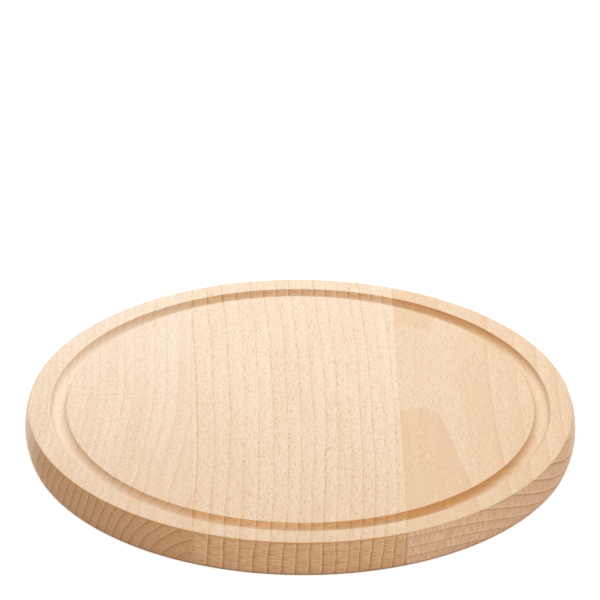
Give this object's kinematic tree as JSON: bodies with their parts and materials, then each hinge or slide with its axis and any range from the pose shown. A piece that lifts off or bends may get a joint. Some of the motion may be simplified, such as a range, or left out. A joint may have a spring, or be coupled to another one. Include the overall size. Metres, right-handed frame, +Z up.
{
  "type": "round cutting board",
  "caption": "Round beech cutting board glued up from staves, with a cove juice groove just inside the rim and a gently convex wall.",
  "frame": {"origin": "centre of the underside, where the board rests on the worktop", "axes": "+Z up through the thickness, +Y along the grain and the glue lines, +X across the staves"},
  "size_m": [0.3, 0.3, 0.02],
  "materials": {
    "left_beech": "sanded and lightly oiled",
    "middle_beech": "sanded and lightly oiled",
    "right_beech": "sanded and lightly oiled",
    "wood_glue": "cured and sanded flush"
  },
  "bodies": {
    "root": {"left_stave": "left_beech", "left_glue_line": "wood_glue", "middle_stave": "middle_beech", "right_glue_line": "wood_glue", "right_stave": "right_beech"}
  },
  "joints": []
}
